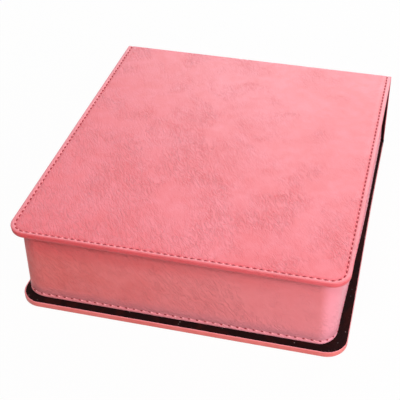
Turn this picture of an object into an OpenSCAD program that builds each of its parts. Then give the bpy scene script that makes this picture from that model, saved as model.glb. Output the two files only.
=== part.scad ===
// Leather jewellery case.
// A flat base panel carries a divided velvet insert. A deep cap lid stands over the
// insert and swings up on a leather fold that runs along the foot of its spine.
// X runs across the case, Y from the front edge to the spine, Z up. Millimetres.

/* [Case] */
// Width over the base and lid panels
case_w = 220; // [180:1:300]
// Depth from the front edge to the spine
case_d = 246; // [205:1:320]
// Height of the closed case
case_h = 65; // [54:1:90]
// Radius of the two front corners of the lid panel
lid_corner_r = 12; // [6:1:25]
// Radius of the two front corners of the base panel
base_corner_r = 14; // [6:1:25]
// Rounding of the panels' turned leather edges
edge_r = 0.8; // [0.4:0.1:1.5]

/* [Leather, board and lining] */
// Thickness of the outer leather
leather_t = 1; // [0.8:0.1:1.6]
// Thickness of the suede lining
lining_t = 0.6; // [0.4:0.1:1]
// Strip of leather left bare round the linings of the base and the spine
lining_ledge = 0.4; // [0.2:0.1:1]
// Thickness of the board inside the base panel
base_board_t = 3.5; // [2.5:0.5:6]
// Thickness of the board inside the lid panel
lid_board_t = 2; // [1.5:0.5:4]
// Thickness of the board inside the spine
spine_board_t = 2; // [1.5:0.5:4]
// Thickness of the boards inside the lid walls
wall_board_t = 2.4; // [2:0.2:4]

/* [Lid walls] */
// Ledge left between the panel edge and the front wall
front_ledge = 5; // [3:0.5:10]
// Ledge left between the panel edge and each side wall
side_ledge = 4.6; // [3:0.2:10]
// Outer radius of the two front corners of the walls
wall_corner_r = 13; // [7:1:20]

/* [Hinge fold] */
// Gap that the lid's lower edges keep from the base and from the fold
swing_gap = 0.3; // [0.2:0.1:1]

/* [Insert] */
// Thickness of the insert's outer walls
insert_wall_t = 3; // [2:0.5:5]
// Thickness of the dividers
divider_t = 2.4; // [1.6:0.2:4]
// Thickness of the insert's floor
insert_floor_t = 2; // [1.5:0.5:4]
// Radius of the insert's two front corners
insert_corner_r = 6; // [4:0.5:10]
// Clearance from the insert to the lid's side walls, and to the front wall as it swings
insert_gap = 1.6; // [1:0.1:4]
// Clearance from the insert to the lid's rear wall
insert_rear_gap = 2.4; // [1.5:0.1:6]
// Free height between the insert and the mirror frame
headroom = 9; // [6:0.5:16]
// Drop from the top of the insert walls to the top of the dividers
divider_drop = 4; // [1:0.5:10]
// Depth of the grooves that the ends of the dividers sit in
housing = 0.8; // [0.4:0.1:1]

/* [Compartments] */
// Depth of the front row, which holds the ring rolls
front_row_d = 72; // [60:1:90]
// Depth of the middle row
middle_row_d = 76; // [50:1:80]
// Width of the ring roll tray
ring_tray_w = 100; // [70:1:110]
// Number of ring rolls
roll_count = 4; // [3:1:5]
// Gap between neighbouring ring rolls
roll_gap = 0.6; // [0.4:0.1:2]
// Drop from the top of the dividers to the top of the rolls
roll_drop = 0.6; // [0:0.2:4]
// Depth to which each roll sinks into its bed
roll_seat = 1.2; // [0.6:0.2:3]
// Thickness of the pads on the compartment floors
pad_t = 4; // [2:0.5:8]
// Gap between a pad and the boards round it
pad_gap = 0.5; // [0.3:0.1:2]
// Radius of the pads' corners
pad_corner_r = 3; // [1:0.5:8]

/* [Mirror] */
// Visible width of the mirror
mirror_w = 130; // [90:1:160]
// Visible depth of the mirror
mirror_d = 150; // [100:1:180]
// Thickness of the mirror glass
mirror_t = 2; // [1.5:0.5:4]
// Width of the leather frame round the mirror
mirror_frame_w = 11; // [6:0.5:16]
// Overlap of the frame's lip over the glass
mirror_lip = 2; // [1:0.5:4]
// Thickness of the frame's lip
mirror_lip_t = 0.8; // [0.6:0.1:2]
// Radius of the frame's outer corners
mirror_corner_r = 6; // [2:1:12]

/* [Magnets] */
// Length of each bar magnet
magnet_l = 30; // [15:1:50]
// Height of each bar magnet
magnet_h = 2; // [1:0.5:3]
// Thickness of each bar magnet
magnet_t = 1.2; // [1:0.1:1.6]
// Distance between the centres of the two magnets
magnet_spacing = 110; // [60:1:140]

/* [Hidden] */
$fn = 64;

PINK = [0.87, 0.45, 0.46];
ROSE = [0.78, 0.33, 0.33];
SUEDE = [0.07, 0.05, 0.05];
VELVET = [0.13, 0.1, 0.11];
BOARD = [0.72, 0.62, 0.48];
STEEL = [0.7, 0.7, 0.72];
GLASS = [0.85, 0.9, 0.92];

// Overlap that keeps a cut clear of the face it opens through
cut = 1;

// The case, from the outside in
half_w = case_w / 2;
front_y = -case_d / 2;
rear_y = case_d / 2;
base_t = leather_t + base_board_t + lining_t;
lid_t = leather_t + lid_board_t + lining_t;
spine_t = leather_t + spine_board_t + lining_t;
wall_t = leather_t + wall_board_t + lining_t;
lid_under_z = case_h - lid_t;

// The fold: a round bead as thick as the base, with the hinge axis along its middle
fold_r = base_t / 2;
hinge_y = rear_y - fold_r;
hinge_z = fold_r;
base_rear_y = rear_y - 2 * fold_r - swing_gap;

// The lid walls
wall_z = base_t + swing_gap;
board_z = wall_z + leather_t;
board_h = lid_under_z - board_z;
wall_half_w = half_w - side_ledge;
wall_front_y = front_y + front_ledge;
spine_inner_y = rear_y - spine_t;
rear_board_y = spine_inner_y - wall_board_t;
cap_half_w = wall_half_w - wall_t;
cap_front_y = wall_front_y + wall_t;
cap_rear_y = rear_board_y - lining_t;
cap_corner_r = wall_corner_r - wall_t;

// The mirror hangs under the lid, and the insert stops short of it
mirror_frame_t = mirror_t + mirror_lip_t;
mirror_y = (cap_front_y + cap_rear_y) / 2;
insert_top_z = lid_under_z - mirror_frame_t - headroom;

// The front wall's foot swings back over the insert's front edge by this much
swing_reach = norm([hinge_y - cap_front_y, wall_z - hinge_z]);
swing_y = hinge_y - sqrt(pow(swing_reach, 2) - pow(insert_top_z - hinge_z, 2));
insert_half_w = cap_half_w - insert_gap;
insert_front_y = swing_y + insert_gap;
insert_rear_y = cap_rear_y - insert_rear_gap;
insert_wall_z = base_t + insert_floor_t;
insert_wall_h = insert_top_z - insert_wall_z;
divider_h = insert_wall_h - divider_drop;

// The space inside the insert, and its three rows from front to rear
room_half_w = insert_half_w - insert_wall_t;
room_front_y = insert_front_y + insert_wall_t;
room_rear_y = insert_rear_y - insert_wall_t;
front_row_end = room_front_y + front_row_d;
middle_row_y = front_row_end + divider_t;
middle_row_end = middle_row_y + middle_row_d;
rear_row_y = middle_row_end + divider_t;

// Front row: the ring tray in the middle and two small compartments on each side
ring_half_w = ring_tray_w / 2;
small_x = ring_half_w + divider_t;
small_w = room_half_w - small_x;
small_d = (front_row_d - divider_t) / 2;
roll_pitch = front_row_d / roll_count;
roll_r = (roll_pitch - roll_gap) / 2;
roll_z = insert_wall_z + divider_h - roll_drop - roll_r;
bed_h = roll_z - roll_r + roll_seat - insert_wall_z;

// Middle row: three equal compartments
middle_w = (2 * room_half_w - 2 * divider_t) / 3;

// Magnets face each other across the foot of the front wall
magnet_y = wall_front_y + leather_t + wall_board_t / 2;
magnet_skin = 0.5;

// Outline of a panel or a wall whose two front corners are round
module front_rounded(half, front, rear, r) {
    translate([-half, front + r]) square([2 * half, rear - front - r]);
    translate([-half + r, front]) square([2 * (half - r), rear - front]);
    for (side = [-1, 1])
        translate([side * (half - r), front + r]) circle(r);
}

// Rectangle about the origin with four round corners
module rounded_rect(w, d, r) {
    square([w - 2 * r, d], center = true);
    square([w, d - 2 * r], center = true);
    for (x = [-1, 1], y = [-1, 1])
        translate([x * (w / 2 - r), y * (d / 2 - r)]) circle(r);
}

// What a rounded edge takes off a square one; the edge lies at the origin
module edge_profile() {
    translate([-edge_r, -edge_r])
        difference() {
            square(edge_r + cut);
            circle(edge_r);
        }
}

// Takes a rounded edge off the front, the sides and the front corners of a panel's top
// face, whose corners have radius r and whose straight sides end at rear
module panel_edge(rear, r) {
    corner_x = half_w - r;
    corner_y = front_y + r;
    translate([-corner_x, front_y, 0])
        rotate([90, 0, 90])
            linear_extrude(2 * corner_x) mirror([1, 0]) edge_profile();
    for (side = [0, 1])
        mirror([side, 0, 0]) {
            translate([half_w, rear + cut, 0])
                rotate([90, 0, 0])
                    linear_extrude(rear + cut - corner_y) edge_profile();
            translate([corner_x, corner_y, 0])
                rotate([0, 0, -90])
                    rotate_extrude(angle = 90) translate([r, 0]) edge_profile();
        }
}

// Panel with its front corners in plan and its edges all round turned smooth
module panel(z, t, rear, r) {
    difference() {
        translate([0, 0, z]) linear_extrude(t) front_rounded(half_w, front_y, rear, r);
        translate([0, 0, z + t]) panel_edge(rear, r);
        translate([0, 0, z]) mirror([0, 0, 1]) panel_edge(rear, r);
    }
}

// Outline of the lid walls, set in from their outer face
module wall_outline(inset, rear) {
    front_rounded(wall_half_w - inset, wall_front_y + inset, rear, wall_corner_r - inset);
}

// Space inside the cap, bounded by its lining
module cap_outline() {
    front_rounded(cap_half_w, cap_front_y, cap_rear_y, cap_corner_r);
}

// Straight board from its lowest corner
module board(corner, size) {
    translate(corner) cube(size);
}

// Row of two bar magnets, centred on the case
module magnet_pair(z) {
    for (side = [-1, 1])
        translate([side * magnet_spacing / 2 - magnet_l / 2, magnet_y - magnet_t / 2, z])
            cube([magnet_l, magnet_t, magnet_h]);
}

// Flat pad with round corners, which lies on the floor of the space given
module floor_pad(x, y, w, d) {
    translate([x + w / 2, y + d / 2, insert_wall_z])
        linear_extrude(pad_t) rounded_rect(w - 2 * pad_gap, d - 2 * pad_gap, pad_corner_r);
}

// ---- Base panel ----

module base_pocket(h) {
    translate([0, 0, leather_t])
        linear_extrude(h)
            front_rounded(half_w - leather_t, front_y + leather_t,
                          base_rear_y - leather_t, base_corner_r - leather_t);
}

// The leather turns up round the edges of the board, under the lining
module base_leather() {
    color(PINK)
        difference() {
            panel(0, base_t - lining_t, base_rear_y, base_corner_r);
            base_pocket(base_t);
        }
}

module base_board() {
    color(BOARD)
        difference() {
            base_pocket(base_board_t);
            magnet_pair(base_t - lining_t - magnet_h);
        }
}

// The lining runs on over the fold, as far as the hinge axis
module base_lining() {
    color(SUEDE)
        translate([0, 0, base_t - lining_t])
            linear_extrude(lining_t)
                front_rounded(half_w - lining_ledge, front_y + lining_ledge,
                              hinge_y, base_corner_r - lining_ledge);
}

module base_magnets() {
    color(STEEL) magnet_pair(base_t - lining_t - magnet_h);
}

// Leather bead on the hinge axis, with the tongue that joins it to the base
module hinge_leather() {
    color(ROSE)
        difference() {
            union() {
                translate([-half_w, hinge_y, hinge_z])
                    rotate([0, 90, 0])
                        cylinder(h = case_w, r = fold_r);
                board([-half_w, base_rear_y, 0], [case_w, hinge_y - base_rear_y, leather_t]);
            }
            board([-half_w - cut, base_rear_y, base_t - lining_t],
                  [case_w + 2 * cut, hinge_y - base_rear_y, lining_t + cut]);
        }
}

// ---- Insert ----

module insert_outline(inset) {
    front_rounded(insert_half_w - inset, insert_front_y + inset,
                  insert_rear_y - inset, insert_corner_r - inset);
}

module insert_floor() {
    color(VELVET) translate([0, 0, base_t]) linear_extrude(insert_floor_t) insert_outline(0);
}

// Dividers before they are coloured; they also cut their own grooves in what holds them
module cross_divider(y) {
    half = room_half_w + housing;
    board([-half, y, insert_wall_z], [2 * half, divider_t, divider_h]);
}

module ring_dividers(sides = [-1, 1]) {
    for (side = sides)
        board([side * (ring_half_w + divider_t / 2) - divider_t / 2,
               room_front_y - housing, insert_wall_z],
              [divider_t, front_row_d + 2 * housing, divider_h]);
}

module small_dividers(sides = [-1, 1]) {
    for (side = sides)
        board([side * (small_x + small_w / 2) - small_w / 2 - housing,
               room_front_y + small_d, insert_wall_z],
              [small_w + 2 * housing, divider_t, divider_h]);
}

module middle_dividers(sides = [-1, 1]) {
    for (side = sides)
        board([side * (middle_w + divider_t) / 2 - divider_t / 2,
               middle_row_y - housing, insert_wall_z],
              [divider_t, middle_row_d + 2 * housing, divider_h]);
}

// The front wall bends round both front corners
module insert_front_wall() {
    color(VELVET)
        difference() {
            translate([0, 0, insert_wall_z])
                linear_extrude(insert_wall_h)
                    intersection() {
                        difference() {
                            insert_outline(0);
                            insert_outline(insert_wall_t);
                        }
                        translate([-insert_half_w, insert_front_y])
                            square([2 * insert_half_w, insert_corner_r]);
                    }
            ring_dividers();
        }
}

module insert_rear_wall() {
    color(VELVET)
        board([-insert_half_w, room_rear_y, insert_wall_z],
              [2 * insert_half_w, insert_wall_t, insert_wall_h]);
}

module insert_side_wall(x) {
    start_y = insert_front_y + insert_corner_r;
    color(VELVET)
        difference() {
            board([x, start_y, insert_wall_z],
                  [insert_wall_t, room_rear_y - start_y, insert_wall_h]);
            cross_divider(front_row_end);
            cross_divider(middle_row_end);
            small_dividers();
        }
}

module insert_left_wall() { insert_side_wall(-insert_half_w); }

module insert_right_wall() { insert_side_wall(room_half_w); }

// The front cross divider holds the ends of the ring and middle dividers
module divider_front() {
    color(VELVET)
        difference() {
            cross_divider(front_row_end);
            ring_dividers();
            middle_dividers();
        }
}

module divider_rear() {
    color(VELVET)
        difference() {
            cross_divider(middle_row_end);
            middle_dividers();
        }
}

// Divider between the ring tray and the small compartments of one side
module ring_divider(side) {
    color(VELVET)
        difference() {
            ring_dividers([side]);
            small_dividers([side]);
        }
}

module divider_ring_left() { ring_divider(-1); }

module divider_ring_right() { ring_divider(1); }

module divider_small_left() { color(VELVET) small_dividers([-1]); }

module divider_small_right() { color(VELVET) small_dividers([1]); }

module divider_middle_left() { color(VELVET) middle_dividers([-1]); }

module divider_middle_right() { color(VELVET) middle_dividers([1]); }

// Cylinder of one ring roll, long enough for the roll or for its groove in the bed
module roll_body(i, half_l) {
    translate([-half_l, room_front_y + (i - 0.5) * roll_pitch, roll_z])
        rotate([0, 90, 0])
            cylinder(h = 2 * half_l, r = roll_r);
}

module ring_roll(i) {
    color(VELVET) roll_body(i, ring_half_w - pad_gap);
}

// Foam bed with a groove for each roll
module ring_bed() {
    color(VELVET)
        difference() {
            board([-ring_half_w, room_front_y, insert_wall_z],
                  [ring_tray_w, front_row_d, bed_h]);
            for (i = [1:roll_count]) roll_body(i, ring_half_w + cut);
        }
}

// Small pads are numbered from the front left, row by row
module small_pad(i) {
    x = i % 2 == 1 ? -room_half_w : small_x;
    y = room_front_y + (i > 2 ? small_d + divider_t : 0);
    color(VELVET) floor_pad(x, y, small_w, small_d);
}

// Middle pads are numbered from the left
module middle_pad(i) {
    x = -room_half_w + (i - 1) * (middle_w + divider_t);
    color(VELVET) floor_pad(x, middle_row_y, middle_w, middle_row_d);
}

module rear_pad() {
    color(VELVET)
        floor_pad(-room_half_w, rear_row_y, 2 * room_half_w, room_rear_y - rear_row_y);
}

// ---- Lid panel ----

module lid_pocket() {
    translate([0, 0, lid_under_z + lining_t])
        linear_extrude(lid_board_t)
            front_rounded(half_w - leather_t, front_y + leather_t,
                          rear_y - leather_t, lid_corner_r - leather_t);
}

// The leather turns in under the board as far as the walls, and rolls over into the spine
module lid_leather() {
    color(PINK)
        difference() {
            panel(lid_under_z, lid_t, rear_y, lid_corner_r);
            translate([-half_w - cut, rear_y, case_h])
                rotate([90, 0, 90]) linear_extrude(case_w + 2 * cut) edge_profile();
            lid_pocket();
            translate([0, 0, lid_under_z - cut])
                linear_extrude(lining_t + 2 * cut) cap_outline();
        }
}

module lid_board() {
    color(BOARD) lid_pocket();
}

module lid_lining() {
    color(SUEDE) translate([0, 0, lid_under_z]) linear_extrude(lining_t) cap_outline();
}

// ---- Spine ----

// Layer that stops short of the ends and the foot of the spine, and reaches the lid
module spine_layer(inset, y, t) {
    board([-half_w + inset, y, wall_z + inset],
          [case_w - 2 * inset, t, lid_under_z - wall_z - inset]);
}

// The leather turns in round the ends and the foot of the board, under the lining
module spine_leather() {
    color(PINK)
        difference() {
            spine_layer(0, spine_inner_y + lining_t, spine_t - lining_t);
            board([-half_w + leather_t, spine_inner_y, board_z],
                  [case_w - 2 * leather_t, spine_t - leather_t, board_h + cut]);
        }
}

module spine_board() {
    color(BOARD) spine_layer(leather_t, spine_inner_y + lining_t, spine_board_t);
}

module spine_lining() {
    color(SUEDE) spine_layer(lining_ledge, spine_inner_y, lining_t);
}

// ---- Lid walls ----

// Board of the front wall, cut out at its foot for the magnets
module front_wall_board() {
    half = wall_half_w - wall_corner_r;
    color(BOARD)
        difference() {
            board([-half, wall_front_y + leather_t, board_z], [2 * half, wall_board_t, board_h]);
            magnet_pair(board_z + magnet_skin);
        }
}

module side_wall_board(x) {
    start_y = wall_front_y + wall_corner_r;
    color(BOARD)
        board([x, start_y, board_z], [wall_board_t, spine_inner_y - start_y, board_h]);
}

module left_wall_board() { side_wall_board(-wall_half_w + leather_t); }

module right_wall_board() { side_wall_board(wall_half_w - leather_t - wall_board_t); }

module rear_wall_board() {
    half = wall_half_w - leather_t - wall_board_t;
    color(BOARD)
        board([-half, rear_board_y, board_z], [2 * half, wall_board_t, board_h]);
}

// Bent board that joins the front wall to a side wall
module corner_board(side) {
    color(BOARD)
        translate([side * (wall_half_w - wall_corner_r), wall_front_y + wall_corner_r, board_z])
            linear_extrude(board_h)
                intersection() {
                    difference() {
                        circle(wall_corner_r - leather_t);
                        circle(wall_corner_r - leather_t - wall_board_t);
                    }
                    translate([side > 0 ? 0 : -wall_corner_r, -wall_corner_r])
                        square(wall_corner_r);
                }
}

module left_corner_board() { corner_board(-1); }

module right_corner_board() { corner_board(1); }

// Leather round the front and the sides, turned in under the foot of all four walls
module wall_leather() {
    color(PINK)
        translate([0, 0, wall_z])
            union() {
                linear_extrude(lid_under_z - wall_z)
                    difference() {
                        wall_outline(0, spine_inner_y);
                        wall_outline(leather_t, spine_inner_y + cut);
                    }
                linear_extrude(leather_t)
                    difference() {
                        wall_outline(0, spine_inner_y);
                        cap_outline();
                    }
            }
}

module wall_lining() {
    color(SUEDE)
        translate([0, 0, board_z])
            linear_extrude(board_h)
                difference() {
                    wall_outline(wall_t - lining_t, rear_board_y);
                    cap_outline();
                }
}

// ---- Mirror and magnets ----

module mirror_slab(grow, z, h) {
    w = mirror_w + 2 * grow;
    d = mirror_d + 2 * grow;
    board([-w / 2, mirror_y - d / 2, z], [w, d, h]);
}

module mirror_glass() {
    color(GLASS) mirror_slab(mirror_lip, lid_under_z - mirror_t, mirror_t);
}

// The frame's lip laps over the edge of the glass
module mirror_frame() {
    foot_z = lid_under_z - mirror_frame_t;
    color(ROSE)
        difference() {
            translate([0, mirror_y, foot_z])
                linear_extrude(mirror_frame_t)
                    rounded_rect(mirror_w + 2 * mirror_frame_w, mirror_d + 2 * mirror_frame_w,
                                 mirror_corner_r);
            mirror_slab(mirror_lip, lid_under_z - mirror_t, mirror_t + cut);
            mirror_slab(0, foot_z - cut, mirror_frame_t);
        }
}

module lid_magnets() {
    color(STEEL) magnet_pair(board_z + magnet_skin);
}

base_leather();
base_board();
base_lining();
base_magnets();
hinge_leather();
insert_floor();
insert_front_wall();
insert_rear_wall();
insert_left_wall();
insert_right_wall();
divider_front();
divider_rear();
divider_ring_left();
divider_ring_right();
divider_small_left();
divider_small_right();
divider_middle_left();
divider_middle_right();
ring_bed();
rear_pad();
for (i = [1:roll_count]) ring_roll(i);
for (i = [1:4]) small_pad(i);
for (i = [1:3]) middle_pad(i);
lid_leather();
lid_board();
lid_lining();
spine_leather();
spine_board();
spine_lining();
front_wall_board();
left_wall_board();
right_wall_board();
rear_wall_board();
left_corner_board();
right_corner_board();
wall_leather();
wall_lining();
mirror_glass();
mirror_frame();
lid_magnets();
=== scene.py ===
"""Leather jewellery case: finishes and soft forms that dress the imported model."""

import logging
import math
from collections.abc import Callable, Iterable
from dataclasses import dataclass
from enum import Enum
from functools import lru_cache, partial, reduce

import bmesh
import bpy
from mathutils import Euler, Matrix, Vector, noise


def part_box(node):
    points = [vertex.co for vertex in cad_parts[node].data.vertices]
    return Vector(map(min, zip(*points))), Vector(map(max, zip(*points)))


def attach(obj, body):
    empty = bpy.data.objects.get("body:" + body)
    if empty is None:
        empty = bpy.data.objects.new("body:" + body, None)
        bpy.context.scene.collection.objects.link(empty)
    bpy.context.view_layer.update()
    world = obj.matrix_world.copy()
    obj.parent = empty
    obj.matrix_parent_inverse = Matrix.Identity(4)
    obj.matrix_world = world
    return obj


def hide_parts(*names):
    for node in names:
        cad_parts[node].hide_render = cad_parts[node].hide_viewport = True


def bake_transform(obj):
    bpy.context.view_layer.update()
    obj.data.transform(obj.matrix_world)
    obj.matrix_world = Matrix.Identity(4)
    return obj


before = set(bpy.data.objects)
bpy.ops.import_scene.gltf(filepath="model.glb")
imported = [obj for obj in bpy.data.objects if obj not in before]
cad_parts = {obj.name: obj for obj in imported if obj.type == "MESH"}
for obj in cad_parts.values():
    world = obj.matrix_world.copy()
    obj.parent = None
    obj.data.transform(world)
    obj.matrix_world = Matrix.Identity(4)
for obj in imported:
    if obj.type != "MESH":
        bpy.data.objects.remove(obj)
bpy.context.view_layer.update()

LOG = logging.getLogger("jewellery_case")
MM = 0.001
CLOSE = 1e-6
UPRIGHT = 0.01 * MM  # inset of a step whose wall is all but upright
QUARTER = math.pi / 2
SMOOTH_ANGLE = math.radians(40)
CORNER_ANGLE = math.radians(30)
FLAT_ANGLE = math.radians(1)
LOOKING = 0.95  # least share of a face's normal along the way that it looks
CORD_SIDES, ROD_SIDES, RING_STEPS = 8, 40, 48
UP, DOWN = Vector((0, 0, 1)), Vector((0, 0, -1))
FORWARD, BACK, ACROSS = Vector((0, -1, 0)), Vector((0, 1, 0)), Vector((1, 0, 0))

Colour = tuple[float, float, float, float]
Material = bpy.types.Material
Mesh = bpy.types.Mesh
Socket = bpy.types.NodeSocket
Term = Socket | float
Steps = Iterable[tuple[float, float]]
Seat = Callable[[Vector, float], Matrix]
Pick = Callable[[bmesh.types.BMEdge], bool]


class Body(Enum):
    """Rigid bodies that pieces ride on."""

    BASE = "base"
    LID = "lid"


class Slot(Enum):
    """Material slots of the record."""

    LEATHER = "pink_leather"
    FRAME = "frame_leather"
    SUEDE = "black_suede"
    VELVET = "velvet_board"
    PADDING = "padded_velvet"
    BOARD = "greyboard"


def tone(*channels: int) -> Colour:
    """Turns a screen colour, red, green and blue from 0 to 255, into scene light."""
    shares = [channel / 255 for channel in channels]
    return (*(s / 12.92 if s <= 0.04045 else ((s + 0.055) / 1.055) ** 2.4 for s in shares), 1.0)


# ---- Shader graphs -------------------------------------------------------------------


@dataclass(frozen=True)
class Graph:
    """Adds nodes to a tree and links them as it goes."""

    tree: bpy.types.NodeTree

    def feed(self, socket: Socket, term: object) -> None:
        """Links a socket to another, or sets its value.

        Args:
            socket: The input.
            term: An output to link, or a plain value.
        """
        if isinstance(term, Socket):
            self.tree.links.new(term, socket)
        else:
            socket.default_value = term

    def add(self, kind: str, inputs: dict | None = None, **settings: object) -> bpy.types.Node:
        """Adds a node.

        Args:
            kind: The node's type name.
            inputs: Values or sockets for its inputs, by name or number.
            settings: Its own settings, by name.

        Returns:
            The node.
        """
        node = self.tree.nodes.new(kind)
        for name, value in settings.items():
            setattr(node, name, value)
        for name, term in (inputs or {}).items():
            self.feed(node.inputs[name], term)
        return node

    def math(self, operation: str, *terms: Term) -> Socket:
        """Works out an operation on up to three terms."""
        return self.add("ShaderNodeMath", dict(enumerate(terms)), operation=operation).outputs[0]

    def scaled(self, term: Term, factor: Term, offset: Term = 0.0) -> Socket:
        """Multiplies a term and adds an offset."""
        return self.math("MULTIPLY_ADD", term, factor, offset)

    def total(self, *terms: Term) -> Socket:
        """Adds up any number of terms."""
        return reduce(lambda left, right: self.math("ADD", left, right), terms)

    def step(self, source: Term, low: float, high: float) -> Socket:
        """Rises smoothly from 0 where the source is low to 1 where it is high."""
        spans = {"Value": source, "From Min": low, "From Max": high}
        return self.add("ShaderNodeMapRange", spans, interpolation_type="SMOOTHSTEP").outputs["Result"]

    def mix(self, share: Term, first: object, second: object) -> Socket:
        """Mixes two colours, by the share of the second."""
        return self.add("ShaderNodeMix", {0: share, 6: first, 7: second}, data_type="RGBA").outputs[2]

    def noise(self, place: Socket, scale: Term, detail: float = 2.0, warp: float = 0.0) -> Socket:
        """Adds noise of about 0.5, with scale features per metre, finer octaves and distortion."""
        inputs = {"Vector": place, "Scale": scale, "Detail": detail, "Distortion": warp}
        return self.add("ShaderNodeTexNoise", inputs).outputs["Fac"]

    def cells(self, place: Socket, size: float, feature: str = "F1") -> Socket:
        """Gives the distance inside cells that are about size metres across."""
        inputs = {"Vector": place, "Scale": 1 / size}
        return self.add("ShaderNodeTexVoronoi", inputs, feature=feature).outputs["Distance"]

    def drawn(self, place: Socket, turn: Iterable[float], stretch: Iterable[float]) -> Socket:
        """Turns a position and then scales it, which draws a pattern out along one way."""
        turned = self.add("ShaderNodeMapping", {"Vector": place, "Rotation": turn}).outputs[0]
        return self.add("ShaderNodeMapping", {"Vector": turned, "Scale": stretch}).outputs[0]


class Effect:
    """A shader node group that several materials share."""

    def __init__(self, name: str, inputs: dict[str, float], outputs: Iterable[str]) -> None:
        """Makes the group's sockets.

        Args:
            name: Name of the group.
            inputs: Its float inputs, with their defaults. Vectors Place and Facing are added.
            outputs: Names of its float outputs.
        """
        self.tree = bpy.data.node_groups.new(name, "ShaderNodeTree")
        sockets = self.tree.interface
        for label in ("Place", "Facing"):
            sockets.new_socket(label, in_out="INPUT", socket_type="NodeSocketVector")
        for label, value in inputs.items():
            sockets.new_socket(label, in_out="INPUT", socket_type="NodeSocketFloat").default_value = value
        for label in outputs:
            sockets.new_socket(label, in_out="OUTPUT", socket_type="NodeSocketFloat")
        self.graph = Graph(self.tree)
        self.given = self.tree.nodes.new("NodeGroupInput").outputs
        self.result = self.tree.nodes.new("NodeGroupOutput").inputs

    def put(self, label: str, term: Term) -> None:
        """Feeds one of the group's outputs."""
        self.graph.feed(self.result[label], term)


class Effects:
    """The shared effects: leather hide and the nap of suede and velvet."""

    CLOUD = 48 * MM
    BLOTCH = 9 * MM
    CREASE_TURN = math.radians(54)
    CREASE_LENGTH = 6.4 * MM
    CREASE_WIDTH = 1.5 * MM
    CREASE_EDGE = 0.07
    CREASE_HEIGHT = -0.7
    PATCH = 34 * MM
    PATCH_DRIFT = (-1.0, -1.0, 0.0)
    PATCH_SPAN = (0.32, 0.66)
    PLAIN_CREASES = 0.15
    PLAIN_HEIGHT = 0.5
    WAVE = 6 * MM
    WAVE_HEIGHT = 0.45
    PORE = 0.85 * MM
    PORE_HEIGHT = -0.2
    BRUSHED = 13 * MM
    LINT = 2.6 * MM
    LINT_GROUP = 4 * MM

    @classmethod
    def strokes(cls, graph: Graph, place: Socket, axis: int) -> Socket:
        """Draws short slanting strokes on the faces that look along one axis.

        Args:
            graph: The group's graph.
            place: The position.
            axis: Number of the axis, from 0 for X.

        Returns:
            A ridge value, 1 along the middle of each stroke.
        """
        turn, stretch = [0.0, 0.0, 0.0], [1 / cls.CREASE_LENGTH] * 3
        turn[axis] = cls.CREASE_TURN * (-1 if axis == 1 else 1)
        stretch[1 if axis == 2 else 2] = 1 / cls.CREASE_WIDTH
        strokes = graph.noise(graph.drawn(place, turn, stretch), 1.0, detail=1.5, warp=0.7)
        ridges = graph.math("ABSOLUTE", graph.math("SUBTRACT", strokes, 0.5))
        return graph.math("SUBTRACT", 1.0, graph.step(ridges, 0.0, cls.CREASE_EDGE))

    @classmethod
    @lru_cache(maxsize=None)
    def hide(cls) -> Effect:
        """Builds leather: fine pores, drawn-out creases in patches, and slow clouds.

        Returns:
            The group. Height is for a bump; Clouds, Creases and Pores are masks from 0 to 1.
        """
        effect = Effect("hide", {"Crease": 1.0, "Grain": 1.0}, ("Height", "Clouds", "Creases", "Pores"))
        graph, place = effect.graph, effect.given["Place"]
        clouds = graph.noise(place, 1 / cls.CLOUD, detail=3.0, warp=0.4)
        blotches = graph.noise(place, 1 / cls.BLOTCH, detail=4.0, warp=0.3)
        effect.put("Clouds", graph.step(graph.scaled(blotches, 0.5, graph.scaled(clouds, 0.5)), 0.3, 0.7))
        parts = graph.add("ShaderNodeSeparateXYZ", {"Vector": effect.given["Facing"]}).outputs
        faced = [graph.scaled(part, part) for part in parts]
        lines = [graph.scaled(cls.strokes(graph, place, axis), faced[axis]) for axis in range(3)]
        drift = graph.add("ShaderNodeVectorMath", {0: place, 1: cls.PATCH_DRIFT}, operation="DOT_PRODUCT")
        patches = graph.noise(place, 1 / cls.PATCH, detail=3.0, warp=0.6)
        spread = graph.step(graph.total(patches, drift.outputs["Value"]), *cls.PATCH_SPAN)
        share = graph.scaled(spread, 1 - cls.PLAIN_CREASES, cls.PLAIN_CREASES)
        patched = graph.scaled(graph.total(*lines), share)
        creases = graph.scaled(patched, effect.given["Crease"])
        effect.put("Creases", creases)
        pores = graph.cells(place, cls.PORE, "SMOOTH_F1")
        effect.put("Pores", graph.step(pores, 0.2, 0.75))
        pebbles = graph.scaled(pores, graph.scaled(effect.given["Grain"], cls.PORE_HEIGHT))
        waves = graph.scaled(graph.noise(place, 1 / cls.WAVE), cls.WAVE_HEIGHT)
        height = graph.total(graph.scaled(creases, cls.CREASE_HEIGHT), waves, pebbles)
        share = graph.scaled(spread, 1 - cls.PLAIN_HEIGHT, cls.PLAIN_HEIGHT)
        effect.put("Height", graph.scaled(height, share))
        return effect

    @classmethod
    @lru_cache(maxsize=None)
    def nap(cls) -> Effect:
        """Builds a brushed pile: fine fibres, strokes that lie the other way, and stray lint.

        Returns:
            The group. Height is for a bump; Strokes and Lint are masks from 0 to 1.
        """
        effect = Effect("nap", {"Fibres": 1 / (0.35 * MM)}, ("Height", "Strokes", "Lint"))
        graph, place = effect.graph, effect.given["Place"]
        effect.put("Height", graph.noise(place, effect.given["Fibres"], detail=4.0))
        brushed = graph.noise(place, 1 / cls.BRUSHED, detail=3.0, warp=1.2)
        effect.put("Strokes", graph.step(brushed, 0.42, 0.66))
        dots = graph.math("SUBTRACT", 1.0, graph.step(graph.cells(place, cls.LINT), 0.1, 0.18))
        rare = graph.step(graph.noise(place, 1 / cls.LINT_GROUP, detail=1.0), 0.55, 0.6)
        effect.put("Lint", graph.scaled(dots, rare))
        return effect


# ---- Finishes ------------------------------------------------------------------------


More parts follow.
